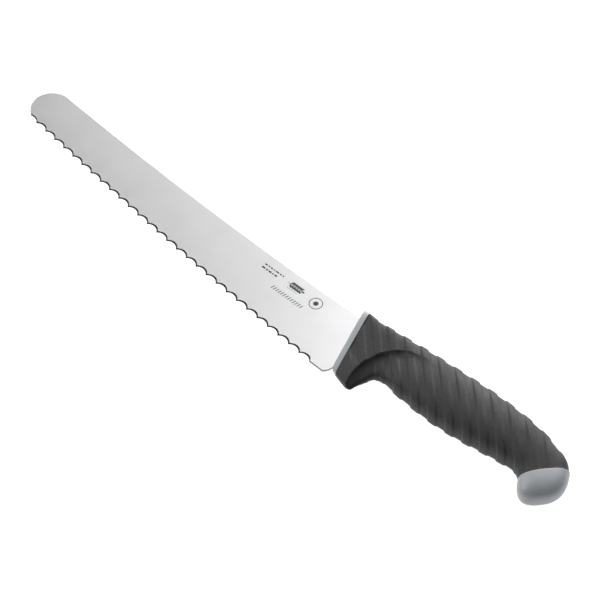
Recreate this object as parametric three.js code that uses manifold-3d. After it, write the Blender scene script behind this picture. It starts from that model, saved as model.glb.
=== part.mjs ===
// Bread knife: a stamped, scalloped blade in a two-shot moulded handle.
//
// The knife lies on its side. +X runs from the blade's tip to the butt, +Y from the
// cutting edge to the spine, and +Z out of the blade's left face. All sizes are in
// millimetres. Until the knife is placed, at the end, the working origin is where the
// spine's line meets the handle, halfway through the sheet.

import * as THREE from 'three';
import { mergeVertices } from 'three/addons/utils/BufferGeometryUtils.js';
import Module from 'manifold-3d';

const wasm = await Module();
wasm.setup();

// ------------------------------------------------------------- driving dimensions

const GAP = 0.3; // clearance between pieces that touch on the real knife
const WELD = 1e-4; // points nearer than this are one

// Blade
const SHEET = 1.2;
const SPINE_RADIUS = 2632; // the spine is a long, slightly hollow arc
const SPINE_LOWEST = new THREE.Vector2(-22, -0.35);
const TIP_CENTRE = new THREE.Vector2(-226.6, -4.65);
const TIP_RADIUS = 12.3;
const EDGE_RADIUS = 3270; // the scallops' cusps lie on a long bulging arc
const EDGE_CENTRE = new THREE.Vector2(204, 3223.8);
const EDGE_SLANT = 0.095; // its mean slant, in radians
const LAST_CUSP_X = 4.1; // the cusp nearest to the handle
const SCALLOP_COUNT = 28;
const SCALLOP_PITCH = 8.26;
const SCALLOP_DEPTH = 2.1;
const SCALLOP_STEPS = 12;
const BEVEL_SHIFT = 1 / 12; // how far the ground band's top runs to the handle, in scallops
const BEVEL_LIFT = 0.6; // how far the band's top lies above a scallop's deepest point
const BEVEL_LEAST = 0.15; // narrowest width of the band
const TIP_START = 102; // degrees round the tip, from its end of the spine
const TIP_STEP = 9;
const TIP_FACET_END = 242; // degrees round the tip, where the first, part scallop starts
const TIP_FACET_DEPTH = 1.1; // of that part scallop
const SPINE_STEPS = 12;
const HEEL_BEVEL = 0.3;
const HEEL_POINTS = [[13.7, -40.3], [15.7, -38.0], [16.3, -36.6], [16.4, -34.9]];
const ROOT_BELLY_Y = -33.8; // lower corner of the blade's full width, in the collar

// Tang: centre line and half widths, and the holes that lock it into the moulding
const TANG_CUTS = [
  { x: 8, y: -16.0, half: 11.0 },
  { x: 24, y: -13.5, half: 8.5 },
  { x: 38, y: -10.2, half: 6.0 },
  { x: 60, y: -9.4, half: 6.0 },
  { x: 100, y: -8.6, half: 5.2 },
];
const TANG_END_STEPS = 8;
const TANG_HOLE_RADIUS = 3.0;
const TANG_HOLE_XS = [48, 70, 92];

// Collar, the exposed front end of the core: the cut at its front face, measured as the
// grip's cuts are below
const COLLAR_FRONT = {
  back: [6.2, 3.2], belly: [17.1, -36.0], shoulder: 5.3, palm: 4.3, wedge: 0.48, square: 6.0,
};
const COLLAR_WIDTH = 3.3;
const COLLAR_EDGE = 0.8; // rounding of its front edge
const COLLAR_EDGE_MIDDLE = 0.3; // inset, as a share of that, halfway round it
const SHOULDER_DEPTH = 2.1; // how far the full width of the blade sinks into it
const SLOT_OVERRUN = 8; // how far the slot's cutter reaches out in front of it

// Cuts through the grip, from the collar to the cap. back and belly are the ends of the
// cut, shoulder and palm are half its thickness in the two surfaces that make the grip,
// wedge is how much both thin from back to belly, and square is the roundness: 2 is an
// ellipse, and more is boxier.
const GRIP_CUTS = [
  { back: [9.8, 3.5], belly: [20.8, -37.2], shoulder: 5.4, palm: 4.4, wedge: 0.48, square: 6.0 },
  { back: [15.1, 3.0], belly: [26.3, -38.8], shoulder: 5.7, palm: 4.5, wedge: 0.48, square: 6.0 },
  { back: [19.9, 3.3], belly: [32.4, -39.8], shoulder: 6.1, palm: 4.4, wedge: 0.46, square: 5.5 },
  { back: [24.9, 3.4], belly: [34.3, -35.7], shoulder: 6.6, palm: 4.6, wedge: 0.42, square: 5.0 },
  { back: [31.0, 4.1], belly: [35.9, -30.5], shoulder: 7.5, palm: 5.2, wedge: 0.32, square: 4.2 },
  { back: [39.0, 5.1], belly: [39.9, -24.4], shoulder: 8.6, palm: 6.4, wedge: 0.16, square: 3.4 },
  { back: [49.0, 6.7], belly: [48.7, -24.5], shoulder: 9.4, palm: 8.4, wedge: 0.06, square: 2.8 },
  { back: [62.6, 8.0], belly: [60.9, -25.5], shoulder: 10.2, palm: 10.1, wedge: 0, square: 2.4 },
  { back: [80.6, 8.8], belly: [76.9, -26.0], shoulder: 11.0, palm: 11.0, wedge: 0, square: 2.4 },
  { back: [98.7, 9.2], belly: [94.0, -24.9], shoulder: 11.2, palm: 11.2, wedge: 0, square: 2.4 },
  { back: [116.7, 8.4], belly: [110.9, -22.5], shoulder: 11.0, palm: 11.0, wedge: 0, square: 2.4 },
  { back: [132.2, 6.3], belly: [123.9, -20.8], shoulder: 10.2, palm: 10.2, wedge: 0, square: 2.5 },
  { back: [143.8, 3.1], belly: [131.7, -21.0], shoulder: 9.4, palm: 9.4, wedge: 0, square: 2.6 },
  { back: [150.7, 0.1], belly: [135.3, -22.8], shoulder: 8.8, palm: 8.8, wedge: 0, square: 2.7 },
  { back: [155.5, -4.2], belly: [137.6, -24.8], shoulder: 8.4, palm: 8.4, wedge: 0, square: 2.8 },
];
const PALM_SQUARE = 2.6; // the palm surface is never boxier than this
const CUT_STEPS = 3; // rings from one cut to the next
const RING_STEPS = 32;

// Finger recess: inside this arc the palm surface shows, outside it the front shoulder
const RECESS_CENTRE = new THREE.Vector2(55.5, -29.5);
const RECESS_RADIUS = 27.8;
const RECESS_WALL = 5.5; // width of the wall between the two surfaces
const RECESS_SHARPNESS = 3; // above 1, the wall is steepest at its top

// Butt cap, the exposed rear end of the core
const CAP_LENGTH = 15;
const CAP_LEAN = -4.7; // the end hooks towards the belly by this much
const CAP_PROUD = 0.25; // how far it stands out from the grip
const CAP_SQUARE = 2.7;
const CAP_RINGS = 9;
const CAP_LAST_RING = 0.985; // share of the quarter turn where the rounding stops

// Cuts through the core inside the grip
const CORE_CUTS = [
  { back: [10.7, -1.0], belly: [19.1, -32.0], half: 3.5, wedge: 0.4, square: 5.0 },
  { back: [22.0, -0.6], belly: [29.0, -27.0], half: 3.4, wedge: 0.4, square: 4.0 },
  { back: [36.0, 0.6], belly: [38.2, -19.6], half: 4.0, wedge: 0.2, square: 2.8 },
  { back: [49.0, 1.6], belly: [48.5, -19.6], half: 6.2, wedge: 0, square: 2.4 },
  { back: [62.5, 2.9], belly: [61.0, -20.3], half: 7.5, wedge: 0, square: 2.4 },
  { back: [80.5, 4.0], belly: [77.0, -21.2], half: 8.2, wedge: 0, square: 2.4 },
  { back: [98.5, 4.4], belly: [94.0, -21.0], half: 8.4, wedge: 0, square: 2.4 },
  { back: [116.5, 3.8], belly: [111.0, -18.6], half: 8.2, wedge: 0, square: 2.4 },
  { back: [131.0, 1.9], belly: [124.8, -16.8], half: 7.5, wedge: 0, square: 2.5 },
  { back: [142.0, -1.0], belly: [133.6, -17.8], half: 6.6, wedge: 0, square: 2.6 },
  { back: [153.2, -6.9], belly: [140.0, -22.0], half: 5.8, wedge: 0, square: 2.8 },
];
const CORE_CUT_STEPS = 2;
const CORE_OVERLAP = 1.0; // how far the core runs into its own collar and cap

// Windows through the core, filled by the rubber, which locks the grip on
const WINDOWS = [[116, -7.6], [129, -8.0]];
const WINDOW_STRAIGHT = 4; // between the centres of its round ends
const WINDOW_WIDTH = 6;
const KEY_HALF_HEIGHT = 9.0;
const POST_STEPS = 8; // facets round each end of a post or window

// ------------------------------------------------------------------ solids and cuts

function toSolid(geometry) {
  geometry.deleteAttribute('normal');
  geometry.deleteAttribute('uv');
  const merged = mergeVertices(geometry, WELD);
  const mesh = new wasm.Mesh({
    numProp: 3,
    vertProperties: new Float32Array(merged.attributes.position.array),
    triVerts: new Uint32Array(merged.index.array),
  });
  return new wasm.Manifold(mesh);
}

function toGeometry(solid) {
  const mesh = solid.getMesh();
  const geometry = new THREE.BufferGeometry();
  geometry.setAttribute('position', new THREE.BufferAttribute(mesh.vertProperties, 3));
  geometry.setIndex(new THREE.BufferAttribute(mesh.triVerts, 1));
  return geometry;
}

// Joins rings with the same number of points into one closed solid.
function loft(rings) {
  const count = rings[0].length;
  const points = rings.flat();
  const faces = [];
  for (let r = 0; r < rings.length - 1; r += 1) {
    for (let k = 0; k < count; k += 1) {
      const a = r * count + k;
      const b = r * count + ((k + 1) % count);
      faces.push(a, b, a + count, b, b + count, a + count);
    }
  }
  const closeEnd = (ring, first, flip) => {
    const centre = points.length;
    points.push(ring.reduce((sum, p) => sum.add(p), new THREE.Vector3()).divideScalar(count));
    for (let k = 0; k < count; k += 1) {
      const a = first + k;
      const b = first + ((k + 1) % count);
      faces.push(centre, flip ? a : b, flip ? b : a);
    }
  };
  closeEnd(rings[0], 0, false);
  closeEnd(rings[rings.length - 1], (rings.length - 1) * count, true);
  const geometry = new THREE.BufferGeometry().setFromPoints(points);
  geometry.setIndex(faces);
  return toSolid(geometry);
}

// A vertical prism whose top outline may be drawn in from its bottom one, point by point.
function prism(bottom, top, low, high) {
  const geometry = new THREE.BufferGeometry();
  const count = bottom.length;
  const points = [
    ...bottom.map((p) => new THREE.Vector3(p.x, p.y, low)),
    ...top.map((p) => new THREE.Vector3(p.x, p.y, high)),
  ];
  const faces = [];
  for (const [a, b, c] of THREE.ShapeUtils.triangulateShape(bottom, [])) faces.push(a, c, b);
  for (const [a, b, c] of THREE.ShapeUtils.triangulateShape(top, [])) {
    faces.push(count + a, count + b, count + c);
  }
  for (let k = 0; k < count; k += 1) {
    const next = (k + 1) % count;
    faces.push(k, next, count + next, k, count + next, count + k);
  }
  geometry.setFromPoints(points);
  geometry.setIndex(faces);
  return toSolid(geometry);
}

// Round-ended post along Z, centred at x, y. straight is how much longer it is than wide.
function post(x, y, straight, width, halfHeight) {
  const shape = new THREE.Shape();
  shape.absarc(straight / 2, 0, width / 2, -Math.PI / 2, Math.PI / 2, false);
  shape.absarc(-straight / 2, 0, width / 2, Math.PI / 2, (3 * Math.PI) / 2, false);
  const options = { depth: 2 * halfHeight, bevelEnabled: false, curveSegments: POST_STEPS };
  const geometry = new THREE.ExtrudeGeometry(shape, options);
  geometry.translate(x, y, -halfHeight);
  return toSolid(geometry);
}

// ------------------------------------------------------------------ handle sections

// Smooth (Catmull-Rom) value of a column of the table between its rows.
function smooth(values, at) {
  const last = values.length - 1;
  const row = Math.min(Math.floor(at), last - 1);
  const f = at - row;
  const [p0, p1, p2, p3] = [row - 1, row, row + 1, row + 2].map(
    (k) => values[Math.min(Math.max(k, 0), last)],
  );
  const startSlope = (p2 - p0) / 2;
  const endSlope = (p3 - p1) / 2;
  const cubic = 2 * p1 - 2 * p2 + startSlope + endSlope;
  const square = 3 * p2 - 3 * p1 - 2 * startSlope - endSlope;
  return ((cubic * f + square) * f + startSlope) * f + p1;
}

function cutBetween(cuts, at) {
  const column = (read) => smooth(cuts.map(read), at);
  return {
    back: new THREE.Vector2(column((c) => c.back[0]), column((c) => c.back[1])),
    belly: new THREE.Vector2(column((c) => c.belly[0]), column((c) => c.belly[1])),
    shoulder: column((c) => c.shoulder ?? c.half),
    palm: column((c) => c.palm ?? c.half),
    wedge: column((c) => c.wedge),
    square: column((c) => c.square),
  };
}

// Unit vector in the blade's plane, square to a cut and pointing to the butt.
function cutNormal(cut) {
  const up = cut.back.clone().sub(cut.belly).normalize();
  return new THREE.Vector2(up.y, -up.x);
}

function moved(cut, along) {
  const step = cutNormal(cut).multiplyScalar(along);
  return { ...cut, back: cut.back.clone().add(step), belly: cut.belly.clone().add(step) };
}

function grown(cut, by) {
  const step = cut.back.clone().sub(cut.belly).normalize().multiplyScalar(by);
  return {
    ...cut,
    back: cut.back.clone().add(step),
    belly: cut.belly.clone().sub(step),
    shoulder: cut.shoulder + by,
    palm: cut.palm + by,
  };
}

// 1 on the front shoulder, falling to 0 over the wall of the finger recess.
function shoulderShare(x, y) {
  const beyond = x < RECESS_CENTRE.x
    ? Math.hypot(x - RECESS_CENTRE.x, y - RECESS_CENTRE.y) - RECESS_RADIUS
    : y - RECESS_CENTRE.y - RECESS_RADIUS;
  return THREE.MathUtils.clamp(1 + beyond / RECESS_WALL, 0, 1) ** RECESS_SHARPNESS;
}

function arch(across, square) {
  return Math.max(1 - Math.abs(across) ** square, 0) ** (1 / square);
}

function ringOf(cut) {
  const ring = [];
  for (let k = 0; k < RING_STEPS; k += 1) {
    const angle = (2 * Math.PI * k) / RING_STEPS;
    const c = Math.cos(angle);
    const across = Math.sign(c) * Math.abs(c) ** (2 / PALM_SQUARE);
    const at = cut.belly.clone().lerp(cut.back, (across + 1) / 2);
    const taper = 1 + cut.wedge * across;
    const palm = cut.palm * taper * arch(across, Math.min(cut.square, PALM_SQUARE));
    const shoulder = cut.shoulder * taper * arch(across, cut.square);
    const height = THREE.MathUtils.lerp(palm, shoulder, shoulderShare(at.x, at.y));
    const side = k < RING_STEPS / 2 ? 1 : -1;
    ring.push(new THREE.Vector3(at.x, at.y, side * height));
  }
  return ring;
}

function cutsAlong(cuts, steps) {
  const total = (cuts.length - 1) * steps;
  return Array.from({ length: total + 1 }, (_, k) => cutBetween(cuts, k / steps));
}

// ------------------------------------------------------------------------ the blade

function spineY(x) {
  const drop = Math.sqrt(SPINE_RADIUS ** 2 - (x - SPINE_LOWEST.x) ** 2);
  return SPINE_LOWEST.y + SPINE_RADIUS - drop;
}

function edgePoint(x) {
  const drop = Math.sqrt(EDGE_RADIUS ** 2 - (x - EDGE_CENTRE.x) ** 2);
  return new THREE.Vector2(x, EDGE_CENTRE.y - drop);
}

// Adds a hollow arc from one cusp to the next, and the drawn-in line of its bevel above.
function addScallop(lower, upper, from, to, depth) {
  const chord = to.clone().sub(from);
  const inward = new THREE.Vector2(-chord.y, chord.x).normalize();
  const half = chord.length() / 2;
  const radius = (half ** 2 + depth ** 2) / (2 * depth);
  const rise = (f) => {
    const x = (2 * (f - Math.floor(f)) - 1) * half;
    return Math.sqrt(radius ** 2 - x ** 2) - (radius - depth);
  };
  for (let k = 0; k < SCALLOP_STEPS; k += 1) {
    const f = k / SCALLOP_STEPS;
    const at = from.clone().addScaledVector(chord, f).addScaledVector(inward, rise(f));
    const band = Math.max(BEVEL_LEAST, rise(f - BEVEL_SHIFT) + BEVEL_LIFT - rise(f));
    lower.push(at);
    upper.push(at.clone().addScaledVector(inward, band));
  }
}

function tangCentreY(x) {
  const after = TANG_CUTS.findIndex((c) => c.x >= x);
  const [a, b] = [TANG_CUTS[after - 1], TANG_CUTS[after]];
  return THREE.MathUtils.mapLinear(x, a.x, b.x, a.y, b.y);
}

// Outline of the tang, grown all round, from its lower root to its upper one.
function tangOutline(grow) {
  const end = TANG_CUTS[TANG_CUTS.length - 1];
  const lower = TANG_CUTS.map((c) => new THREE.Vector2(c.x, c.y - c.half - grow));
  const upper = TANG_CUTS.map((c) => new THREE.Vector2(c.x, c.y + c.half + grow)).reverse();
  const round = [];
  for (let k = 1; k < TANG_END_STEPS; k += 1) {
    const angle = (k / TANG_END_STEPS - 0.5) * Math.PI;
    const reach = end.half + grow;
    round.push(new THREE.Vector2(
      end.x + reach * Math.cos(angle),
      end.y + reach * Math.sin(angle),
    ));
  }
  return [...lower, ...round, ...upper];
}

// Where the line of a cut, moved along its normal, has the given y.
function onCollarPlane(y, along) {
  const plane = moved(cutBetween(GRIP_CUTS, 0), along);
  const f = (y - plane.belly.y) / (plane.back.y - plane.belly.y);
  return plane.belly.clone().lerp(plane.back, f);
}

function bladeSolid() {
  const lower = [];
  const upper = [];
  const addSame = (point) => {
    lower.push(point);
    upper.push(point.clone());
  };
  const shoulderPlane = SHOULDER_DEPTH - COLLAR_WIDTH;

  addSame(onCollarPlane(SPINE_LOWEST.y, shoulderPlane));
  for (let k = 0; k <= SPINE_STEPS; k += 1) {
    const x = (TIP_CENTRE.x * k) / SPINE_STEPS;
    addSame(new THREE.Vector2(x, spineY(x)));
  }
  for (let degrees = TIP_START; degrees < TIP_FACET_END; degrees += TIP_STEP) {
    const angle = THREE.MathUtils.degToRad(degrees);
    const arm = new THREE.Vector2(Math.cos(angle), Math.sin(angle));
    addSame(TIP_CENTRE.clone().addScaledVector(arm, TIP_RADIUS));
  }

  const cusps = [];
  const step = SCALLOP_PITCH * Math.cos(EDGE_SLANT);
  for (let k = SCALLOP_COUNT; k >= 0; k -= 1) cusps.push(edgePoint(LAST_CUSP_X - k * step));
  const facet = THREE.MathUtils.degToRad(TIP_FACET_END);
  const facetArm = new THREE.Vector2(Math.cos(facet), Math.sin(facet));
  const facetStart = TIP_CENTRE.clone().addScaledVector(facetArm, TIP_RADIUS);
  addScallop(lower, upper, facetStart, cusps[0], TIP_FACET_DEPTH);
  for (let k = 0; k < SCALLOP_COUNT; k += 1) {
    addScallop(lower, upper, cusps[k], cusps[k + 1], SCALLOP_DEPTH);
  }
  const lastCusp = cusps[SCALLOP_COUNT];
  lower.push(lastCusp);
  upper.push(lastCusp.clone().add(new THREE.Vector2(0, HEEL_BEVEL)));
  HEEL_POINTS.forEach(([x, y], k) => {
    lower.push(new THREE.Vector2(x, y));
    upper.push(new THREE.Vector2(x, y + (k === 0 ? HEEL_BEVEL : 0)));
  });
  addSame(onCollarPlane(ROOT_BELLY_Y, -COLLAR_WIDTH));
  addSame(onCollarPlane(ROOT_BELLY_Y, shoulderPlane));

  const tang = tangOutline(0);
  let blade = prism(lower, upper, -SHEET / 2, SHEET / 2)
    .add(prism(tang, tang, -SHEET / 2, SHEET / 2));
  for (const x of TANG_HOLE_XS) {
    blade = blade.subtract(post(x, tangCentreY(x), 0, 2 * TANG_HOLE_RADIUS, SHEET));
  }
  return blade;
}

// ----------------------------------------------------------------------- the handle

// The core's slot for the blade's root and tang, with posts left standing in the holes.
function bladeSlot() {
  const plane = SHOULDER_DEPTH - COLLAR_WIDTH + GAP;
  const front = -COLLAR_WIDTH - SLOT_OVERRUN;
  const root = [
    onCollarPlane(SPINE_LOWEST.y + GAP, plane),
    onCollarPlane(SPINE_LOWEST.y + GAP, front),
    onCollarPlane(ROOT_BELLY_Y - GAP, front),
    onCollarPlane(ROOT_BELLY_Y - GAP, plane),
  ];
  const half = SHEET / 2 + GAP;
  const tang = tangOutline(GAP);
  let slot = prism(root, root, -half, half).add(prism(tang, tang, -half, half));
  for (const x of TANG_HOLE_XS) {
    slot = slot.subtract(post(x, tangCentreY(x), 0, 2 * (TANG_HOLE_RADIUS - GAP), SHEET));
  }
  return slot;
}

// From a shrunken ring on the front face, round its edge, straight back to the grip.
function collarSolid() {
  const front = cutBetween([COLLAR_FRONT, GRIP_CUTS[0]], 0);
  const rear = cutBetween(GRIP_CUTS, 0);
  const round = COLLAR_EDGE * COLLAR_EDGE_MIDDLE;
  return loft([
    ringOf(grown(front, -COLLAR_EDGE)),
    ringOf(grown(moved(front, round), -round)),
    ringOf(moved(front, COLLAR_EDGE)),
    ringOf(rear),
  ]);
}

function capSolid() {
  const front = cutBetween(GRIP_CUTS, GRIP_CUTS.length - 1);
  const middle = front.back.clone().add(front.belly).multiplyScalar(0.5);
  const up = front.back.clone().sub(front.belly).normalize();
  const out = cutNormal(front);
  const halfWidth = front.back.distanceTo(front.belly) / 2 + CAP_PROUD;
  const rings = [];
  for (let k = 0; k <= CAP_RINGS; k += 1) {
    const angle = (Math.PI / 2) * Math.min(k / CAP_RINGS, CAP_LAST_RING);
    const reach = Math.sin(angle) ** (2 / CAP_SQUARE);
    const size = Math.cos(angle) ** (2 / CAP_SQUARE);
    const centre = middle.clone()
      .addScaledVector(out, CAP_LENGTH * reach)
      .addScaledVector(up, CAP_LEAN * reach);
    rings.push(ringOf({
      ...front,
      back: centre.clone().addScaledVector(up, halfWidth * size),
      belly: centre.clone().addScaledVector(up, -halfWidth * size),
      shoulder: (front.shoulder + CAP_PROUD) * size,
      palm: (front.palm + CAP_PROUD) * size,
    }));
  }
  return loft(rings);
}

// The core's body inside the grip, or, grown, the hollow that the grip leaves for it.
function coreBody(grow, overrun) {
  const cuts = cutsAlong(CORE_CUTS, CORE_CUT_STEPS).map((cut) => grown(cut, grow));
  cuts.unshift(moved(cuts[0], -overrun));
  cuts.push(moved(cuts[cuts.length - 1], overrun));
  return loft(cuts.map(ringOf));
}

function windowPosts(shrink, halfHeight) {
  const posts = WINDOWS.map(([x, y]) => (
    post(x, y, WINDOW_STRAIGHT, WINDOW_WIDTH - 2 * shrink, halfHeight)
  ));
  return posts[0].add(posts[1]);
}

function coreSolid() {
  return collarSolid()
    .add(coreBody(0, CORE_OVERLAP))
    .add(capSolid())
    .subtract(bladeSlot())
    .subtract(windowPosts(0, 2 * KEY_HALF_HEIGHT));
}

function gripSolid() {
  const cuts = cutsAlong(GRIP_CUTS, CUT_STEPS);
  cuts[0] = moved(cuts[0], GAP);
  cuts[cuts.length - 1] = moved(cuts[cuts.length - 1], -GAP);
  return loft(cuts.map(ringOf))
    .subtract(coreBody(GAP, 2 * CORE_OVERLAP))
    .add(windowPosts(GAP, KEY_HALF_HEIGHT));
}

// --------------------------------------------------------------------- the assembly

const knife = new THREE.Group();

function addPiece(name, solid, look) {
  const piece = new THREE.Mesh(toGeometry(solid), new THREE.MeshStandardMaterial(look));
  piece.name = name;
  knife.add(piece);
}

addPiece('blade', bladeSolid(), { color: 0xd2d3d5, roughness: 0.3, metalness: 1 });
addPiece('handle_core', coreSolid(), { color: 0x9a9da2, roughness: 0.5, metalness: 0 });
addPiece('grip', gripSolid(), { color: 0x3b3b3d, roughness: 0.8, metalness: 0 });

// The origin is under the middle of the knife, on the surface that it lies on.
const box = new THREE.Box3().setFromObject(knife, true);
const middle = box.getCenter(new THREE.Vector3());
knife.position.set(-middle.x, -middle.y, -box.min.z);

export default knife;
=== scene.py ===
# Bread knife, lying on its side: the finished surfaces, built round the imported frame.
#
# Sizes below are in millimetres, in the knife's working frame: +X runs from the tip to the
# butt, +Y from the edge to the spine, +Z out of the left face, and the origin is where the
# spine's line meets the handle, halfway through the sheet. placed() turns them into the
# row frame, in metres.
import math

import bmesh
import bpy
import numpy as np
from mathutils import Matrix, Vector


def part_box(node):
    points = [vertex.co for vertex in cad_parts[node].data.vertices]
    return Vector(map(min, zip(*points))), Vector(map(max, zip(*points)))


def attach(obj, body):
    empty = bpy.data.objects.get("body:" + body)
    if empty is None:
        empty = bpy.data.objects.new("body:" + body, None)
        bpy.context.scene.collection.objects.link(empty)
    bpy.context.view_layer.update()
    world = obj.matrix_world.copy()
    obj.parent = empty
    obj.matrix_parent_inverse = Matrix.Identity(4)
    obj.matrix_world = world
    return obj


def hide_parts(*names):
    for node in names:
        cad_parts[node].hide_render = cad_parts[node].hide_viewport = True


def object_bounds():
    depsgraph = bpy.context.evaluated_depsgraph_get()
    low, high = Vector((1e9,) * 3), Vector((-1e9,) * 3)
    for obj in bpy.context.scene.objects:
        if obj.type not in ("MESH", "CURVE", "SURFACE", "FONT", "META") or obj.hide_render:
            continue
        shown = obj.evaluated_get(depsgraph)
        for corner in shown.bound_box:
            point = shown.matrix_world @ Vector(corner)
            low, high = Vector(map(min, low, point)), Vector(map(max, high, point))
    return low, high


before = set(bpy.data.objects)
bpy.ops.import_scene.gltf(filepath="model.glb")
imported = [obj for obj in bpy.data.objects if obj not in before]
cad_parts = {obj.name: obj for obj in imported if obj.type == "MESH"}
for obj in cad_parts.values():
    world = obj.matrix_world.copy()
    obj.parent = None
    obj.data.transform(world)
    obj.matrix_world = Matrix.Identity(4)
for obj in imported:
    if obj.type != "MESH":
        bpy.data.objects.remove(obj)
cad_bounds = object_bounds()

MM = 0.001
BODY = "root"

# ---------------------------------------------------------------- driving dimensions

TIP_REACH = 238.9  # from the working origin to the tip
BACK_REACH = 9.2  # from the working origin to the highest point of the back

# Blade
SHEET = 1.2
SPINE_RADIUS = 2632
SPINE_LOWEST = (-22, -0.35)
SPINE_START = 1  # the first point of the spine's curve, beyond the tip's centre
SPINE_CHAMFER = 0.25
TIP_CENTRE = (-226.6, -4.65)
TIP_RADIUS = 12.3
TIP_START = 0.7  # degrees from the foremost point to the first points of the round tip
TIP_BLEND = 94  # degrees round the tip where it runs into the spine
TIP_FACET_END = 242  # degrees round the tip, where the first, part scallop starts
EDGE_RADIUS = 3270
EDGE_CENTRE = (204, 3223.8)
EDGE_SLANT = 0.095  # mean slant of the edge, in radians
LAST_CUSP_X = 4.1
SCALLOP_COUNT = 28
SCALLOP_PITCH = 8.26
SCALLOP_DEPTH = 2.1
PART_SCALLOP_DEPTH = 1.1
BEVEL_SHIFT = 1 / 12  # how far towards the handle the ground band's top runs, in scallops
BEVEL_LIFT = 0.6  # how far the band's top lies above the edge at the deepest point
BEVEL_LEAST = 0.15  # height of the band at its narrowest
BEVEL_HOLLOW = 0.03  # how far the band sinks below a flat one
BEVEL_SHARE = 0.25  # the most of the blade's height that the band or a chamfer may take
PLAIN_BEVEL = 0.15  # height of the bevel where the sheet isn't ground
HEEL_BEVEL = 0.3
EDGE_LAND = 0.16  # thickness left at the very edge
HEEL_START = 0.04  # share of the way to the heel's corner where the ground band has ended
HEEL_POINTS = ((13.7, -40.3), (16.4, -37.8), (16.4, -34.9))
ROOT_BELLY_Y = -33.8

# Tang: x, y of its middle and half its height, from the blade to its end
TANG_CUTS = (
    (8, -16.0, 11.0),
    (24, -13.5, 8.5),
    (38, -10.2, 6.0),
    (60, -9.4, 6.0),
    (100, -8.6, 5.2),
)
ROOT_STEP = 0.03  # from the root's last point to the tang's first, so that x always grows

# Cuts through the handle: x and y of the back, x and y of the belly, half thickness of the
# shoulder, half thickness of the palm, how much both thin to the belly, roundness
COLLAR_FRONT = (6.2, 3.2, 17.1, -36.0, 5.3, 4.3, 0.48, 6.0)
GRIP_CUTS = np.array([
    (9.8, 3.5, 20.8, -37.2, 5.4, 4.4, 0.48, 6.0),
    (15.1, 3.0, 26.3, -38.8, 5.7, 4.5, 0.48, 6.0),
    (19.9, 3.3, 32.4, -39.8, 6.1, 4.4, 0.46, 5.5),
    (24.9, 3.4, 34.3, -35.7, 6.6, 4.6, 0.42, 5.0),
    (31.0, 4.1, 35.9, -30.5, 7.5, 5.2, 0.32, 4.2),
    (39.0, 5.1, 39.9, -24.4, 8.6, 6.4, 0.16, 3.4),
    (49.0, 6.7, 48.7, -24.5, 9.4, 8.4, 0.06, 2.8),
    (62.6, 8.0, 60.9, -25.5, 10.2, 10.1, 0, 2.4),
    (80.6, 8.8, 76.9, -26.0, 11.0, 11.0, 0, 2.4),
    (98.7, 9.2, 94.0, -24.9, 11.2, 11.2, 0, 2.4),
    (116.7, 8.4, 110.9, -22.5, 11.0, 11.0, 0, 2.4),
    (132.2, 6.3, 123.9, -20.8, 10.2, 10.2, 0, 2.5),
    (143.8, 3.1, 131.7, -21.0, 9.4, 9.4, 0, 2.6),
    (150.7, 0.1, 135.3, -22.8, 8.8, 8.8, 0, 2.7),
    (155.5, -4.2, 137.6, -24.8, 8.4, 8.4, 0, 2.8),
])
CORE_CUTS = np.array([
    (10.7, -1.0, 19.1, -32.0, 3.5, 3.5, 0.4, 5.0),
    (22.0, -0.6, 29.0, -27.0, 3.4, 3.4, 0.4, 4.0),
    (36.0, 0.6, 38.2, -19.6, 4.0, 4.0, 0.2, 2.8),
    (49.0, 1.6, 48.5, -19.6, 6.2, 6.2, 0, 2.4),
    (62.5, 2.9, 61.0, -20.3, 7.5, 7.5, 0, 2.4),
    (80.5, 4.0, 77.0, -21.2, 8.2, 8.2, 0, 2.4),
    (98.5, 4.4, 94.0, -21.0, 8.4, 8.4, 0, 2.4),
    (116.5, 3.8, 111.0, -18.6, 8.2, 8.2, 0, 2.4),
    (131.0, 1.9, 124.8, -16.8, 7.5, 7.5, 0, 2.5),
    (142.0, -1.0, 133.6, -17.8, 6.6, 6.6, 0, 2.6),
    (153.2, -6.9, 140.0, -22.0, 5.8, 5.8, 0, 2.8),
])
PALM_SQUARE = 2.6  # roundness of the palm, at most
GAP = 0.3  # between the grip and the core

# Finger recess: a round wall between the shoulder and the thinner palm
RECESS_CENTRE = (55.5, -29.5)
RECESS_RADIUS = 27.8
RECESS_WALL = 5.5
RECESS_SHARPNESS = 3
RECESS_RIM = 0.25  # share of the wall's fall over which the recess's painted shade grows to full

# Collar and cap
COLLAR_WIDTH = 3.3
SHOULDER_DEPTH = 2.1  # how deep in the collar the blade narrows to its tang
COLLAR_ROUND = 0.7
REAR_ROUND = 0.2
CAP_LENGTH = 15
CAP_LEAN = -4.7
CAP_PROUD = 0.25
CAP_SQUARE = 2.7
CAP_ROUND = 0.35
CAP_POLE = 0.999  # share of the way to the cap's end where its last ring is

# Ribs: straight diagonal waves cut into the grip, the same on both sides
RIB_ACROSS = (0.7009, 0.7133)  # direction square to the ribs
RIB_PITCH = 8.5
FIRST_VALLEY = -1.4
RIB_DEPTH = 0.65
RIB_FLATNESS = 3.6  # flattens crests and valleys and steepens the slopes between them
RIB_END_FADE = 1.0
GUARD_SMOOTH = (28, 42)  # ribs in the finger recess grow from none to full between these x
GUARD_CORNER = (-29, -22)  # and on the guard, between these y

# How finely the curves are divided
SCALLOP_STEPS = 24
TIP_STEPS = 20
SPINE_STEPS = 24
HEEL_STEPS = 8
BEVEL_ROWS = 5
FRONT_EDGE_STEPS = 6
REAR_EDGE_STEPS = 5
CAP_RINGS = 48
GRIP_RING_SPACING = 0.35
CORE_RING_SPACING = 3.0
RING_POINTS = 240
RING_FINENESS = 6  # points that a ring is measured with for each point it keeps

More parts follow.
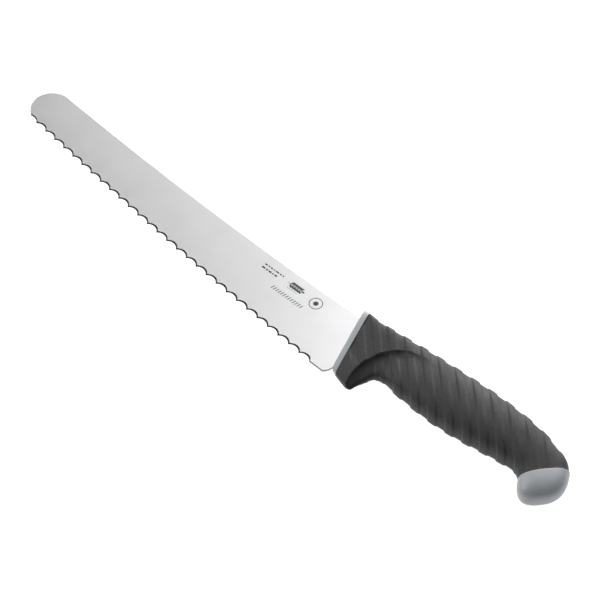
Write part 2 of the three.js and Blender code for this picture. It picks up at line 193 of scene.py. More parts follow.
# Faces that meet at more degrees than these have a sharp edge between them
BLADE_SHARP = 25
CORE_SHARP = 40
GRIP_SHARP = 60

# Marks on the left face: plain generic shapes
MARK_LIFT = 0.004
MARK_THICKNESS = 0.02
EAR_START = (-40.2, -7.6)
EAR_LENGTH = 10.5
EAR_PAIRS = 5
EAR_GRAINS = (0.25, 0.62)  # shares of its length: the first pair's place, and all pairs' spread
STEM_SHARE = 0.9  # of the ear's length
STEM_WIDTH = 0.3
GRAIN_SIZE = (2.9, 1.25)
GRAIN_TURN = 38
GRAIN_ASIDE = 1.2
LAST_GRAIN_SIZE = (2.6, 1.1)
DASH_GAP = 0.7
DASH_ROWS = (  # start, lengths of the dashes, width
    ((-58.5, -6.5), (1.9, 0.9, 1.5, 0.9, 2.3, 1.3, 0.9), 0.85),
    ((-58.6, -9.0), (2.4, 1.2, 1.9, 0.9, 1.8), 1.1),
    ((-38.3, -10.6), (0.5, 0.5, 0.5, 0.5, 0.5, 0.5), 0.4),
)
HATCH_START = (-44.6, -15.8)
HATCH_LENGTH = 2.5
HATCH_WIDTH = 0.5
HATCH_TURN = 72
HATCH_PITCH = 1.75
HATCH_COUNT = 13
SEAL_CENTRE = (-19.1, -8.7)
SEAL_RADIUS = 3.5
SEAL_LINE = 0.45
SEAL_DOT = 1.5

# Materials
RECESS_SHADE_ATTRIBUTE = "painted_recess_shade"  # how far a point of the grip lies in the finger recess, where the rubber's colour is darkened as painted shade
NOISE_SPREAD = (0.3, 0.7)  # the noise values that a range or a tint is spread over
GROUND, SHEARED = 1, 2  # the blade's material slots after its satin faces

# Light, in metres: soft square panels round the row frame's origin, each as its azimuth
# from +X and its elevation in degrees, and its radiance
PANEL_DISTANCE = 1.3
PANEL_SIZE = 0.9
PANELS = {
    "key_panel": (90, 45, 2.2),
    "back_panel": (90, 20, 2.7),
    "low_panel": (120, 20, 4.6),
    "sky_panel": (120, 70, 0.36),
    "left_fill": (210, 45, 4.1),
}
WORLD_GLOW = 0.04
FLOOR_GLOW = 1.0
FLOOR_SHADE = 0.3
FLOOR_REACH = 12.0

# Camera: its aim in the working frame, and its place round it, with its azimuth from -Y
CAMERA_AIM = (-27.54, -12.25, 0)
CAMERA_DISTANCE = 1713.9
CAMERA_AZIMUTH = 42.05
CAMERA_ELEVATION = 52.0
CAMERA_LENS = 187.8

blade_low, blade_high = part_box("blade")
grip_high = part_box("grip")[1]
ORIGIN = np.array([
    blade_low.x + TIP_REACH * MM,
    grip_high.y - BACK_REACH * MM,
    (blade_low.z + blade_high.z) / 2,
])


def placed(points):
    """Points of the working frame, in millimetres, as points of the row frame, in metres."""
    return np.asarray(points, float) * MM + ORIGIN


# ------------------------------------------------------------------------- mesh tools

def turn_faces_outward(mesh):
    """Gives every closed shell of a mesh normals that point out of it."""
    shape = bmesh.new()
    shape.from_mesh(mesh)
    bmesh.ops.recalc_face_normals(shape, faces=shape.faces)
    shape.to_mesh(mesh)
    shape.free()


def make_piece(name, points, faces, material, smooth=True):
    """A mesh object of working-frame points that rides on the knife, with its paint slot."""
    mesh = bpy.data.meshes.new(name)
    mesh.from_pydata(placed(points).tolist(), [], faces)
    turn_faces_outward(mesh)
    mesh.polygons.foreach_set("use_smooth", [smooth] * len(mesh.polygons))
    mesh.update()
    mesh.materials.append(material)
    piece = bpy.data.objects.new(name, mesh)
    bpy.context.scene.collection.objects.link(piece)
    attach(piece, BODY)
    return piece


def tube_faces(rings, count, closed=False):
    """Quads between rings of count points, and round from the last ring to the first if closed."""
    faces = []
    for r in range(rings if closed else rings - 1):
        a = r * count
        b = ((r + 1) % rings) * count
        faces += [(a + k, a + (k + 1) % count, b + (k + 1) % count, b + k) for k in range(count)]
    return faces


# -------------------------------------------------------------------- handle sections

def catmull_rom(table, at):
    """The row of a table at a fractional row number, with smooth values between rows."""
    last = len(table) - 1
    row = min(int(at), last - 1)
    f = at - row
    p0, p1, p2, p3 = (table[min(max(k, 0), last)] for k in range(row - 1, row + 3))
    start_slope = (p2 - p0) / 2
    end_slope = (p3 - p1) / 2
    cubic = 2 * p1 - 2 * p2 + start_slope + end_slope
    square = 3 * p2 - 3 * p1 - 2 * start_slope - end_slope
    return ((cubic * f + square) * f + start_slope) * f + p1


def cuts_along(table, spacing):
    """Cuts from the first row to the last one, about spacing apart."""
    cuts = []
    for row in range(len(table) - 1):
        change = table[row + 1] - table[row]
        reach = max(np.hypot(*change[0:2]), np.hypot(*change[2:4]))
        steps = math.ceil(reach / spacing)
        cuts += [catmull_rom(table, row + k / steps) for k in range(steps)]
    return cuts + [table[-1]]


def cut_axes(cut):
    """Unit vectors from belly to back, and square to the cut towards the butt."""
    up = (cut[0:2] - cut[2:4]) / np.hypot(*(cut[0:2] - cut[2:4]))
    return up, np.array([up[1], -up[0]])


def moved(cut, along):
    """A cut moved square to itself, towards the butt."""
    result = np.array(cut, float)
    step = cut_axes(result)[1] * along
    result[0:2] += step
    result[2:4] += step
    return result


def grown(cut, by):
    """A cut made larger all round."""
    result = np.array(cut, float)
    step = cut_axes(result)[0] * by
    result[0:2] += step
    result[2:4] -= step
    result[4:6] += by
    return result


def arch(across, square):
    """Height of a superellipse from 0 at both ends to 1 in the middle."""
    return np.maximum(1 - np.abs(across) ** square, 0) ** (1 / square)


def shoulder_share(x, y):
    """1 on the front shoulder, falling to 0 over the wall of the finger recess."""
    round_part = np.hypot(x - RECESS_CENTRE[0], y - RECESS_CENTRE[1]) - RECESS_RADIUS
    straight_part = y - RECESS_CENTRE[1] - RECESS_RADIUS
    beyond = np.where(x < RECESS_CENTRE[0], round_part, straight_part)
    return np.clip(1 + beyond / RECESS_WALL, 0, 1) ** RECESS_SHARPNESS


def ring_of(cut, count=RING_POINTS):
    """Points evenly spaced round a cut, from its back, over the left side, to its belly."""
    back, belly = cut[0:2], cut[2:4]
    shoulder, palm, wedge, square = cut[4:8]
    across = np.cos(np.linspace(0, math.pi, RING_FINENESS * count))
    x = belly[0] + (back[0] - belly[0]) * (across + 1) / 2
    y = belly[1] + (back[1] - belly[1]) * (across + 1) / 2
    taper = 1 + wedge * across
    palm_height = palm * taper * arch(across, min(square, PALM_SQUARE))
    shoulder_height = shoulder * taper * arch(across, square)
    share = shoulder_share(x, y)
    z = palm_height * (1 - share) + shoulder_height * share
    half = np.column_stack([x, y, z])
    length = np.concatenate([[0], np.cumsum(np.linalg.norm(np.diff(half, axis=0), axis=1))])
    stops = np.linspace(0, length[-1], count // 2 + 1)
    left = np.column_stack([np.interp(stops, length, half[:, k]) for k in range(3)])
    right = left[-2:0:-1] * (1, 1, -1)
    return np.vstack([left, right])


# -------------------------------------------------------------------------- the blade

def spine_y(x):
    """The spine's slightly hollow line."""
    drop = math.sqrt(SPINE_RADIUS ** 2 - (x - SPINE_LOWEST[0]) ** 2)
    return SPINE_LOWEST[1] + SPINE_RADIUS - drop


def edge_y(x):
    """The line that the scallops' cusps lie on."""
    return EDGE_CENTRE[1] - math.sqrt(EDGE_RADIUS ** 2 - (x - EDGE_CENTRE[0]) ** 2)


def on_collar_plane(y, along):
    """The point at a given y on the plane of the collar's rear face, moved along its normal."""
    plane = moved(GRIP_CUTS[0], along)
    f = (y - plane[3]) / (plane[1] - plane[3])
    return plane[2] + (plane[0] - plane[2]) * f, y


def scallop(start, end, depth):
    """Points of a hollow arc between two cusps, each as x, y and the height of its bevel."""
    chord = end - start
    half = np.hypot(*chord) / 2
    inward = np.array([-chord[1], chord[0]]) / (2 * half)
    radius = (half ** 2 + depth ** 2) / (2 * depth)

    def rise(f):
        return math.sqrt(radius ** 2 - ((2 * (f % 1) - 1) * half) ** 2) - (radius - depth)

    points = []
    for f in np.arange(SCALLOP_STEPS) / SCALLOP_STEPS:
        x, y = start + chord * f + inward * rise(f)
        bevel = max(BEVEL_LEAST, rise(f - BEVEL_SHIFT) + BEVEL_LIFT - rise(f))
        points.append((x, y, bevel))
    return points


def round_tip(sign, last_degrees):
    """Points of the round tip, on the spine's side (sign 1) or the edge's side (sign -1)."""
    points = []
    for degrees in np.linspace(TIP_START, last_degrees, TIP_STEPS, endpoint=False):
        angle = math.radians(degrees)
        x = TIP_CENTRE[0] - TIP_RADIUS * math.cos(angle)
        points.append((x, TIP_CENTRE[1] + sign * TIP_RADIUS * math.sin(angle), PLAIN_BEVEL))
    return points


def cutting_edge():
    """The tip's part scallop and all the scallops, up to the last cusp."""
    facet = math.radians(TIP_FACET_END)
    start = np.array(TIP_CENTRE) + TIP_RADIUS * np.array([math.cos(facet), math.sin(facet)])
    pitch = SCALLOP_PITCH * math.cos(EDGE_SLANT)
    cusp_xs = [LAST_CUSP_X - k * pitch for k in range(SCALLOP_COUNT, -1, -1)]
    cusps = [np.array([x, edge_y(x)]) for x in cusp_xs]
    points = scallop(start, cusps[0], PART_SCALLOP_DEPTH)
    for one, other in zip(cusps, cusps[1:]):
        points += scallop(one, other, SCALLOP_DEPTH)
    points.append((*cusps[-1], points[-1][2]))
    plain_start = cusps[-1] + (np.array(HEEL_POINTS[0]) - cusps[-1]) * HEEL_START
    return points + [(*plain_start, HEEL_BEVEL)]


def heel():
    """The heel's rounded corner, up to where it meets the collar."""
    corner, middle, end = (np.array(p) for p in HEEL_POINTS)
    points = []
    for f in np.linspace(0, 1, HEEL_STEPS):
        bend = (1 - f) ** 2 * corner + 2 * f * (1 - f) * middle + f ** 2 * end
        points.append((*bend, HEEL_BEVEL + (PLAIN_BEVEL - HEEL_BEVEL) * f))
    return points


def tang(sign):
    """One side of the tang with its round end, from where it leaves the blade's root."""
    root_x = on_collar_plane(ROOT_BELLY_Y, SHOULDER_DEPTH - COLLAR_WIDTH)[0]
    points = []
    for x, y, half in TANG_CUTS:
        if x > root_x:
            points.append((x, y + sign * half, PLAIN_BEVEL))
    x, y, half = TANG_CUTS[-1]
    for angle in np.linspace(0, math.pi / 2, HEEL_STEPS)[1:-1]:
        points.append((x + half * math.sin(angle), y + sign * half * math.cos(angle), PLAIN_BEVEL))
    return points


def lower_outline():
    """The sheet's lower side from the tip to the tang's end, as x, y and height of bevel."""
    root_plane = SHOULDER_DEPTH - COLLAR_WIDTH
    root = [on_collar_plane(ROOT_BELLY_Y, along) for along in (-COLLAR_WIDTH, root_plane)]
    step_x = root[1][0] + ROOT_STEP
    tang_xs = [x for x, y, half in TANG_CUTS[:2]]
    tang_bottoms = [y - half for x, y, half in TANG_CUTS[:2]]
    tang_start = np.interp(step_x, tang_xs, tang_bottoms)
    points = round_tip(-1, TIP_FACET_END - 180) + cutting_edge() + heel()
    points += [(*point, PLAIN_BEVEL) for point in root]
    points += [(step_x, tang_start, PLAIN_BEVEL)]
    return np.array(points + tang(-1))


def upper_outline():
    """The sheet's upper side from the tip to the tang's end."""
    points = round_tip(1, TIP_BLEND)
    spine_xs = np.linspace(TIP_CENTRE[0] + SPINE_START, 0, SPINE_STEPS)
    points += [(x, spine_y(x), 0) for x in spine_xs]
    root_plane = SHOULDER_DEPTH - COLLAR_WIDTH
    points.append((*on_collar_plane(SPINE_LOWEST[1], root_plane), 0))
    tang_top = TANG_CUTS[0][1] + TANG_CUTS[0][2]
    points.append((*on_collar_plane(tang_top, root_plane), 0))
    return np.array(points + tang(1))


def blade_section(x, top, bottom, bevel):
    """Closed outline of the sheet at one station, round from the spine's left corner."""
    half = SHEET / 2
    trim = min(SPINE_CHAMFER, (top - bottom) * BEVEL_SHARE)
    outline = [(top - trim, half), (top, half - trim), (top, trim - half), (top - trim, -half)]
    outline.append((bottom, -half))
    hollow = BEVEL_HOLLOW * min(1, bevel / BEVEL_LIFT)
    low = EDGE_LAND - half
    for f in np.linspace(0, 1, BEVEL_ROWS + 1):
        sink = hollow * math.sin(math.pi * f)
        outline.append((bottom + bevel * f + sink, low + (half - low) * f - sink * bevel / SHEET))
    return [(x, y, z) for y, z in outline]


def finish_sides(blade, stations, count):
    """Paints the sheet's narrow sides: ground, in a near-black painted shade, along the scallops and
    sheared elsewhere.

    Round a section of the sheet come three faces of the spine's side, the right face of the
    blade, those of the edge's side, and the left face of the blade.
    """
    right_face, left_face = 3, count - 1
    first_ground_x = cutting_edge()[0][0]
    for index, polygon in enumerate(blade.data.polygons[:-2]):
        station, column = divmod(index, count)
        if column < right_face:
            polygon.material_index = SHEARED
        elif right_face < column < left_face:
            ground = first_ground_x <= stations[station] < LAST_CUSP_X
            polygon.material_index = GROUND if ground else SHEARED


def make_blade(steel, painted_shade_ground_steel, sheared_steel):
    """The sheet, lofted between the two outlines through every x that either has a point at."""
    lower, upper = lower_outline(), upper_outline()
    stations = np.unique(np.concatenate([lower[:, 0], upper[:, 0]]).round(4))
    stations = stations[(stations >= lower[0, 0]) & (stations <= lower[-1, 0])]
    rings = []
    for x in stations:
        top = np.interp(x, upper[:, 0], upper[:, 1])
        bottom = np.interp(x, lower[:, 0], lower[:, 1])
        bevel = min(np.interp(x, lower[:, 0], lower[:, 2]), (top - bottom) * BEVEL_SHARE)
        rings.append(blade_section(x, top, bottom, bevel))
    count = len(rings[0])
    faces = tube_faces(len(rings), count)
    last = (len(rings) - 1) * count
    faces += [tuple(range(count)), tuple(range(last, last + count))]
    blade = make_piece("blade_sheet", np.vstack(rings), faces, steel)
    blade.data.materials.append(painted_shade_ground_steel)
    blade.data.materials.append(sheared_steel)
    finish_sides(blade, stations, count)
    blade.data.set_sharp_from_angle(angle=math.radians(BLADE_SHARP))
    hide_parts("blade")


# --------------------------------------------------------------------- the blade's marks

def turned(outline, centre, turn):
    """An outline turned by some degrees and moved to its centre."""
    c, s = math.cos(math.radians(turn)), math.sin(math.radians(turn))
    return [(centre[0] + x * c - y * s, centre[1] + x * s + y * c) for x, y in outline]


def leaf(centre, length, width, turn, steps=8):
    """A pointed oval, as a closed outline."""
    outline = []
    for sign in (1, -1):
        for f in np.linspace(-1, 1, steps, endpoint=False):
            outline.append((sign * f * length / 2, -sign * (1 - f * f) * width / 2))
    return turned(outline, centre, turn)


def bar(centre, length, width, turn=0):
    """A thin rectangle, as a closed outline."""
    x, y = length / 2, width / 2
    return turned([(-x, -y), (x, -y), (x, y), (-x, y)], centre, turn)


def disc(centre, radius, steps=24):
    """A circle, as a closed outline."""
    angles = 2 * math.pi * np.arange(steps) / steps
    return [(centre[0] + radius * math.cos(a), centre[1] + radius * math.sin(a)) for a in angles]


def wheat_ear():
    """Pairs of grains along a stem."""
    x, y = EAR_START
    stem_length = EAR_LENGTH * STEM_SHARE
    first_share, spread = EAR_GRAINS
    outlines = [bar((x + stem_length / 2, y), stem_length, STEM_WIDTH)]
    for k in range(EAR_PAIRS):
        along = x + EAR_LENGTH * (first_share + spread * k / (EAR_PAIRS - 1))
        for side in (1, -1):
            outlines.append(leaf((along, y + side * GRAIN_ASIDE), *GRAIN_SIZE, side * GRAIN_TURN))
    outlines.append(leaf((x + EAR_LENGTH, y), *LAST_GRAIN_SIZE, 0))
    return outlines


def dash_row(start, lengths, width):
    """Dashes of given lengths in a row, with even gaps."""
    outlines = []
    x = start[0]
    for length in lengths:
        outlines.append(bar((x + length / 2, start[1]), length, width))
        x += length + DASH_GAP
    return outlines


def hatch_row():
    """A row of short slanted strokes."""
    x, y = HATCH_START
    centres = [(x + HATCH_PITCH * k, y) for k in range(HATCH_COUNT)]
    return [bar(centre, HATCH_LENGTH, HATCH_WIDTH, HATCH_TURN) for centre in centres]


def add_prism(points, faces, outline):
    """Adds a closed plate of the marks' thickness to a list of points and faces."""
    first, count = len(points), len(outline)
    low = SHEET / 2 + MARK_LIFT
    for z in (low, low + MARK_THICKNESS):
        points += [(x, y, z) for x, y in outline]
    faces.append(tuple(range(first + count - 1, first - 1, -1)))
    faces.append(tuple(range(first + count, first + 2 * count)))
    for k in range(count):
        a, b = first + k, first + (k + 1) % count
        faces.append((a, b, b + count, a + count))


def add_ring(points, faces, centre, radius, width, steps=40):
    """Adds a flat closed ring of the marks' thickness to a list of points and faces."""
    first = len(points)
    low = SHEET / 2 + MARK_LIFT
    high = low + MARK_THICKNESS
    outer = radius + width
    section = [(radius, low), (outer, low), (outer, high), (radius, high)]
    for k in range(steps):
        c, s = math.cos(2 * math.pi * k / steps), math.sin(2 * math.pi * k / steps)
        points += [(centre[0] + r * c, centre[1] + r * s, z) for r, z in section]
    size = len(section)
    for face in tube_faces(steps, size, closed=True):
        faces.append(tuple(first + k for k in face))


def make_marks(ink):
    """All the marks as one piece: wheat ear, strokes, dashes, and a disc in a ring."""
    points, faces = [], []
    outlines = wheat_ear() + hatch_row() + [disc(SEAL_CENTRE, SEAL_DOT)]
    for start, lengths, width in DASH_ROWS:
        outlines += dash_row(start, lengths, width)
    for outline in outlines:
        add_prism(points, faces, outline)
    add_ring(points, faces, SEAL_CENTRE, SEAL_RADIUS, SEAL_LINE)
    make_piece("blade_marks", points, faces, ink, smooth=False)


# ------------------------------------------------------------------- the handle's core

def edge_ring(cut, radius, angle):
    """A ring of a quarter-round edge: angle 0 is in the cut's face, a right angle full size."""
    inset = abs(radius) * (1 - math.sin(angle))
    along = radius * (1 - math.cos(angle))
    return ring_of(grown(moved(cut, along), -inset))


def front_edge(cut, radius):
    """Rings from the face of a cut out to its full size, a radius further towards the butt."""
    return [edge_ring(cut, radius, a) for a in np.linspace(0, math.pi / 2, FRONT_EDGE_STEPS)]


def rear_edge(cut, radius):
    """Rings from full size, a radius before a cut, in to the cut's face."""
    return [edge_ring(cut, -radius, a) for a in np.linspace(math.pi / 2, 0, REAR_EDGE_STEPS)]


def cap_rings():
    """The butt's cap: rings that shrink along its curved axis to a last, tiny one."""
    front = GRIP_CUTS[-1]
    up, out = cut_axes(front)
    middle = (front[0:2] + front[2:4]) / 2
    half_width = np.hypot(*(front[0:2] - front[2:4])) / 2 + CAP_PROUD
    rings = front_edge(grown(front, CAP_PROUD), CAP_ROUND)
    for k in range(1, CAP_RINGS + 1):
        angle = math.pi / 2 * min(k / CAP_RINGS, CAP_POLE)
        reach = math.sin(angle) ** (2 / CAP_SQUARE)
        size = math.cos(angle) ** (2 / CAP_SQUARE)
        centre = middle + out * CAP_LENGTH * reach + up * CAP_LEAN * reach
        cut = front.copy()
        cut[0:2] = centre + up * half_width * size
        cut[2:4] = centre - up * half_width * size
        cut[4:6] = (front[4:6] + CAP_PROUD) * size
        rings.append(ring_of(cut))
    return rings


def make_core(plastic):
    """The grey moulding in one skin: collar, the part under the grip, and cap."""
    rings = front_edge(np.array(COLLAR_FRONT), COLLAR_ROUND)
    rings += rear_edge(GRIP_CUTS[0], REAR_ROUND)
    rings += [ring_of(cut) for cut in cuts_along(CORE_CUTS, CORE_RING_SPACING)]
    rings += cap_rings()
    faces = tube_faces(len(rings), RING_POINTS)
    last = (len(rings) - 1) * RING_POINTS
    faces += [tuple(range(RING_POINTS)), tuple(range(last, last + RING_POINTS))]
    core = make_piece("handle_core_moulding", np.vstack(rings), faces, plastic)
    core.data.set_sharp_from_angle(angle=math.radians(CORE_SHARP))
    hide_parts("handle_core")


# --------------------------------------------------------------------------- the grip

def smooth_step(x, start=0, end=1):
    """0 up to the start and 1 from the end on, with a soft rise between."""
    x = np.clip((x - start) / (end - start), 0, 1)
    return x * x * (3 - 2 * x)


def rib_strength(rings):
    """How deep the ribs are at each point: none at the grip's ends or deep in the guard."""
    centres = rings.mean(axis=1)
    along = np.concatenate([[0], np.cumsum(np.linalg.norm(np.diff(centres, axis=0), axis=1))])
    ends = smooth_step(along, 0, RIB_END_FADE) * smooth_step(along[-1] - along, 0, RIB_END_FADE)
    x, y = rings[..., 0], rings[..., 1]
    in_guard = 1 - smooth_step(x, *GUARD_SMOOTH)
    in_corner = 1 - smooth_step(y, *GUARD_CORNER)
    plain = np.maximum(1 - shoulder_share(x, y), in_corner)
    return ends[:, None] * (1 - plain * in_guard)


def recess_shade_share(rings):
    """How far each point belongs to the guard's finger recess: the share of painted shade in the
    rubber there.
    """
    x, y = rings[..., 0], rings[..., 1]
    in_guard = 1 - smooth_step(x, *GUARD_SMOOTH)
    return in_guard * smooth_step(1 - shoulder_share(x, y), 0, RECESS_RIM)


def outward_normals(rings):
    """The direction square to the lofted surface at each point, out of the grip."""
    round_ring = np.roll(rings, -1, axis=1) - np.roll(rings, 1, axis=1)
    along = np.gradient(rings, axis=0)
    normals = np.cross(round_ring, along)
    normals /= np.linalg.norm(normals, axis=2, keepdims=True)
    outward = rings - rings.mean(axis=1, keepdims=True)
    return normals * np.sign((normals * outward).sum(axis=2).mean())


def ribbed(rings):
    """The grip's outer surface with the diagonal ribs cut into it."""
    across = rings[..., 0] * RIB_ACROSS[0] + rings[..., 1] * RIB_ACROSS[1]
    phase = (across - FIRST_VALLEY) / RIB_PITCH
    wave = np.tanh(RIB_FLATNESS * np.cos(2 * math.pi * phase)) / math.tanh(RIB_FLATNESS)
    depth = RIB_DEPTH * (1 + wave) / 2 * rib_strength(rings)
    return rings - outward_normals(rings) * depth[..., None]


def sleeve_rings(cuts):
    """Rings of the grip through these cuts, with a gap left before the collar and the cap."""
    cuts[0], cuts[-1] = moved(cuts[0], GAP), moved(cuts[-1], -GAP)
    return np.array([ring_of(cut) for cut in cuts])


def make_grip(rubber):
    """The grip as a closed sleeve: its ribbed outside, then back through its plain inside."""
    outer = ribbed(sleeve_rings(cuts_along(GRIP_CUTS, GRIP_RING_SPACING)))
    bore = [grown(cut, GAP) for cut in cuts_along(CORE_CUTS, CORE_RING_SPACING)]
    rings = np.concatenate([outer, sleeve_rings(bore)[::-1]])
    faces = tube_faces(len(rings), RING_POINTS, closed=True)
    grip = make_piece("grip_sleeve", rings.reshape(-1, 3), faces, rubber)
    # the share of painted shade that darkens the rubber in the finger recess
    painted_recess_shade = grip.data.attributes.new(RECESS_SHADE_ATTRIBUTE, "FLOAT", "POINT")
    painted_recess_shade.data.foreach_set("value", recess_shade_share(rings).ravel())
    grip.data.set_sharp_from_angle(angle=math.radians(GRIP_SHARP))
    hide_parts("grip")


# ------------------------------------------------------------------------- materials

def new_material(name, **inputs):
    """A principled material, its node tree and its shader, with these shader sockets set."""
    material = bpy.data.materials.new(name)
    material.use_nodes = True
    tree = material.node_tree
    shader = tree.nodes["Principled BSDF"]
    for socket, value in inputs.items():
        shader.inputs[socket.replace("_", " ")].default_value = value
    return material, tree, shader


def add_noise(tree, scale, stretch=(1, 1, 1), detail=3):
    """Noise in the row frame, with about scale lumps to the metre, stretched along the axes."""
    place = tree.nodes.new("ShaderNodeTexCoord")
    mapping = tree.nodes.new("ShaderNodeMapping")
    mapping.inputs["Scale"].default_value = stretch
    noise = tree.nodes.new("ShaderNodeTexNoise")
    noise.inputs["Scale"].default_value = scale
    noise.inputs["Detail"].default_value = detail
    tree.links.new(place.outputs["Object"], mapping.inputs["Vector"])
    tree.links.new(mapping.outputs["Vector"], noise.inputs["Vector"])
    return noise.outputs["Fac"]


def add_range(tree, value, low, high):
    """A noise value spread over low to high."""
    node = tree.nodes.new("ShaderNodeMapRange")
    node.inputs["From Min"].default_value = NOISE_SPREAD[0]
    node.inputs["From Max"].default_value = NOISE_SPREAD[1]
    node.inputs["To Min"].default_value = low
    node.inputs["To Max"].default_value = high
    tree.links.new(value, node.inputs["Value"])
    return node.outputs["Result"]


def add_tint(tree, value, dark, light):
    """A noise value turned into a colour between two."""
    node = tree.nodes.new("ShaderNodeValToRGB")
    for stop, position, colour in zip(node.color_ramp.elements, NOISE_SPREAD, (dark, light)):
        stop.position = position
        stop.color = (*colour, 1)
    tree.links.new(value, node.inputs["Fac"])
    return node.outputs["Color"]


def add_bump(tree, shader, height, depth):
    """Lets a noise value stand out of the surface, by a depth in millimetres."""
    node = tree.nodes.new("ShaderNodeBump")
    node.inputs["Strength"].default_value = 1
    node.inputs["Distance"].default_value = depth * MM
    tree.links.new(height, node.inputs["Height"])
    tree.links.new(node.outputs["Normal"], shader.inputs["Normal"])


def satin_steel():
    """Rolled sheet with a fine lengthwise grain and faint cloudy patches."""
    material, tree, shader = new_material("satin_steel", Metallic=1.0)
    cloud = add_noise(tree, 60, detail=5)
    tree.links.new(add_tint(tree, cloud, (0.83, 0.83, 0.84), (0.87, 0.87, 0.88)),
                   shader.inputs["Base Color"])
    grain = add_noise(tree, 5000, stretch=(0.03, 1, 1))
    tree.links.new(add_range(tree, grain, 0.28, 0.34), shader.inputs["Roughness"])
    add_bump(tree, shader, grain, 0.002)
    return material


def ground_steel_with_painted_shade():
    """The hollow-ground bevel, with grinding lines across it, and painted shade: a near-black colour
    for the band's darkness.
    """
    material, tree, shader = new_material("painted_shade_ground_steel", Metallic=1.0)
    lines = add_noise(tree, 2500, stretch=(1, 0.08, 0.08), detail=2)
    # painted shade: the band's near-black colour stands in for the darkness its hollow shows; the
    # lines in it are the real grinding grain
    tree.links.new(add_tint(tree, lines, (0.022, 0.022, 0.023), (0.045, 0.045, 0.046)),
                   shader.inputs["Base Color"])
    tree.links.new(add_range(tree, lines, 0.30, 0.42), shader.inputs["Roughness"])
    add_bump(tree, shader, lines, 0.01)
    return material


def sheared_edge_steel():
    """The narrow sides of the sheet, duller than its faces."""
    material, tree, shader = new_material("sheared_steel", Metallic=1.0)
    patches = add_noise(tree, 900)
    tree.links.new(add_tint(tree, patches, (0.20, 0.20, 0.205), (0.30, 0.30, 0.305)),
                   shader.inputs["Base Color"])
    tree.links.new(add_range(tree, patches, 0.40, 0.55), shader.inputs["Roughness"])
    return material


def etched_ink():
    """The dark marks, a little uneven as an etch is."""
    material, tree, shader = new_material("etched_marks")
    patches = add_noise(tree, 1800)
    tree.links.new(add_tint(tree, patches, (0.015, 0.015, 0.016), (0.05, 0.05, 0.052)),
                   shader.inputs["Base Color"])
    tree.links.new(add_range(tree, patches, 0.5, 0.7), shader.inputs["Roughness"])
    return material


def satin_plastic():
    """Grey moulded plastic with a fine spark-eroded texture."""
    material, tree, shader = new_material("grey_plastic")
    patches = add_noise(tree, 60)
    tree.links.new(add_tint(tree, patches, (0.370, 0.388, 0.408), (0.400, 0.419, 0.440)),
                   shader.inputs["Base Color"])
    texture = add_noise(tree, 5000, detail=2)
    tree.links.new(add_range(tree, texture, 0.36, 0.46), shader.inputs["Roughness"])
    add_bump(tree, shader, texture, 0.006)
    return material


def grained_rubber():
    """Near-black soft grip with a fine matte grain, and painted shade in the finger recess: a plain
    darker colour there.
    """
    material, tree, shader = new_material("grip_rubber", Specular_IOR_Level=0.2)
    grain = add_noise(tree, 1500, detail=4)
    painted_recess_shade = tree.nodes.new("ShaderNodeAttribute")
    painted_recess_shade.attribute_name = RECESS_SHADE_ATTRIBUTE
    mix = tree.nodes.new("ShaderNodeMix")
    mix.data_type = "RGBA"
    # painted shade: the plain darker colour of the finger recess, in place of the grain's tint
    mix.inputs["B"].default_value = (0.016, 0.014, 0.014, 1)
    tree.links.new(painted_recess_shade.outputs["Fac"], mix.inputs["Factor"])
    tree.links.new(add_tint(tree, grain, (0.040, 0.040, 0.041), (0.066, 0.066, 0.068)),
                   mix.inputs["A"])
    tree.links.new(mix.outputs["Result"], shader.inputs["Base Color"])
    tree.links.new(add_range(tree, add_noise(tree, 70), 0.46, 0.60), shader.inputs["Roughness"])
    add_bump(tree, shader, grain, 0.06)
    return material


# --------------------------------------------------------------------- light and camera

def make_world():
    """Even, dim studio surroundings."""
    world = bpy.data.worlds.new("studio")
    bpy.context.scene.world = world
    world.use_nodes = True
    background = world.node_tree.nodes["Background"]
    background.inputs["Color"].default_value = (1, 1, 1, 1)
    background.inputs["Strength"].default_value = WORLD_GLOW


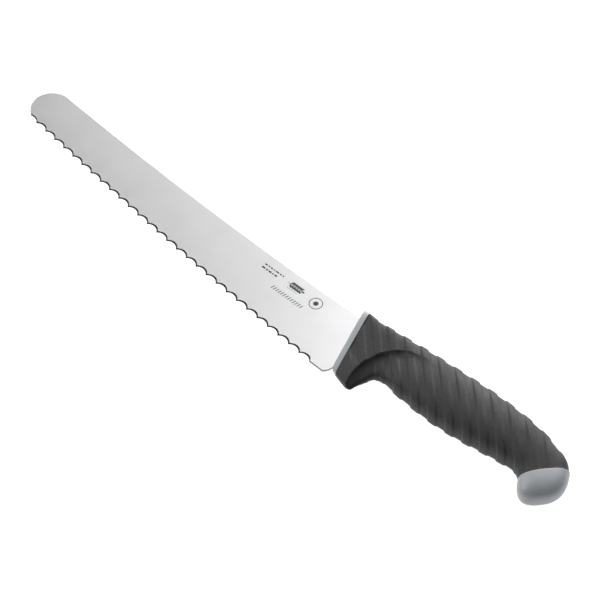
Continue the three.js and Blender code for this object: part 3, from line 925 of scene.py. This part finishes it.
def make_panel(name, azimuth, elevation, radiance):
    """A soft square light, facing the knife."""
    azimuth, elevation = math.radians(azimuth), math.radians(elevation)
    towards = Vector((
        math.cos(azimuth) * math.cos(elevation),
        math.sin(azimuth) * math.cos(elevation),
        math.sin(elevation),
    ))
    light = bpy.data.lights.new(name, "AREA")
    light.shape = "SQUARE"
    light.size = PANEL_SIZE
    light.energy = radiance * math.pi * PANEL_SIZE ** 2
    lamp = bpy.data.objects.new(name, light)
    lamp.location = towards * PANEL_DISTANCE
    lamp.rotation_mode = "QUATERNION"
    lamp.rotation_quaternion = (-towards).to_track_quat("-Z", "Y")
    lamp.visible_camera = False
    bpy.context.scene.collection.objects.link(lamp)


def make_floor():
    """A pale lit table top, far wider than the knife."""
    material, tree, shader = new_material("floor", Roughness=0.9)
    shader.inputs["Base Color"].default_value = (FLOOR_SHADE, FLOOR_SHADE, FLOOR_SHADE, 1)
    shader.inputs["Specular IOR Level"].default_value = 0.0
    shader.inputs["Emission Color"].default_value = (1, 1, 1, 1)
    shader.inputs["Emission Strength"].default_value = FLOOR_GLOW
    mesh = bpy.data.meshes.new("floor")
    z = cad_bounds[0].z
    corners = [(FLOOR_REACH * x, FLOOR_REACH * y, z) for x, y in ((-1, -1), (1, -1), (1, 1), (-1, 1))]
    mesh.from_pydata(corners, [], [(0, 1, 2, 3)])
    mesh.materials.append(material)
    floor = bpy.data.objects.new("floor", mesh)
    bpy.context.scene.collection.objects.link(floor)


def make_camera():
    """The camera, at the height and turn of the photo's."""
    azimuth, elevation = math.radians(CAMERA_AZIMUTH), math.radians(CAMERA_ELEVATION)
    back = Vector((
        math.sin(azimuth) * math.cos(elevation),
        -math.cos(azimuth) * math.cos(elevation),
        math.sin(elevation),
    ))
    camera = bpy.data.objects.new("camera", bpy.data.cameras.new("camera"))
    camera.data.lens = CAMERA_LENS
    camera.location = Vector(placed(CAMERA_AIM)) + back * CAMERA_DISTANCE * MM
    camera.rotation_mode = "QUATERNION"
    camera.rotation_quaternion = (-back).to_track_quat("-Z", "Y")
    bpy.context.scene.collection.objects.link(camera)
    bpy.context.scene.camera = camera


make_camera()
make_world()
for panel, (azimuth, elevation, radiance) in PANELS.items():
    make_panel(panel, azimuth, elevation, radiance)
make_floor()
make_blade(satin_steel(), ground_steel_with_painted_shade(), sheared_edge_steel())
make_marks(etched_ink())
make_core(satin_plastic())
make_grip(grained_rubber())
bpy.context.scene.view_settings.view_transform = "Standard"
